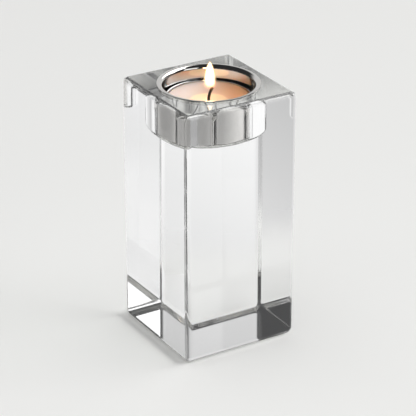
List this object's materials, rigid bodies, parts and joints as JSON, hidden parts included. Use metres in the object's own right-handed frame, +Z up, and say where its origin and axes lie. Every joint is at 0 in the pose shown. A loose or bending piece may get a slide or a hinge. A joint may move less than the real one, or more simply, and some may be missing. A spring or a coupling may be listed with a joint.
{
  "type": "tealight holder",
  "caption": "Tall square column of clear crystal glass with a round recess in its top, where a flanged polished metal cup holds a tealight.",
  "frame": {"origin": "middle of the block's base, on the surface that it stands on", "axes": "+Z up the column, -Y out of its front face, +X to the right as seen from the front"},
  "size_m": [0.0574, 0.0574, 0.1219],
  "materials": {
    "crystal_glass": "polished, clear",
    "polished_metal": "mirror polished nickel plate",
    "foil": "bright pressed foil",
    "wax": "smooth ivory paraffin wax",
    "cotton": "braided cotton, charred",
    "tinned_steel": "tinned, dull"
  },
  "bodies": {
    "block": {"glass_block": "crystal_glass"},
    "cup": {"metal_cup": "polished_metal"},
    "tealight": {"tealight_cup": "foil", "wax_fill": "wax", "wick": "cotton", "wick_tab": "tinned_steel"}
  },
  "joints": [
    {"name": "cup_lift", "type": "slide", "parent": "block", "child": "cup", "axis": [0, 0, 1], "range_m": [0, 0.025]},
    {"name": "tealight_lift", "type": "slide", "parent": "cup", "child": "tealight", "axis": [0, 0, 1], "range_m": [0, 0.025]}
  ]
}
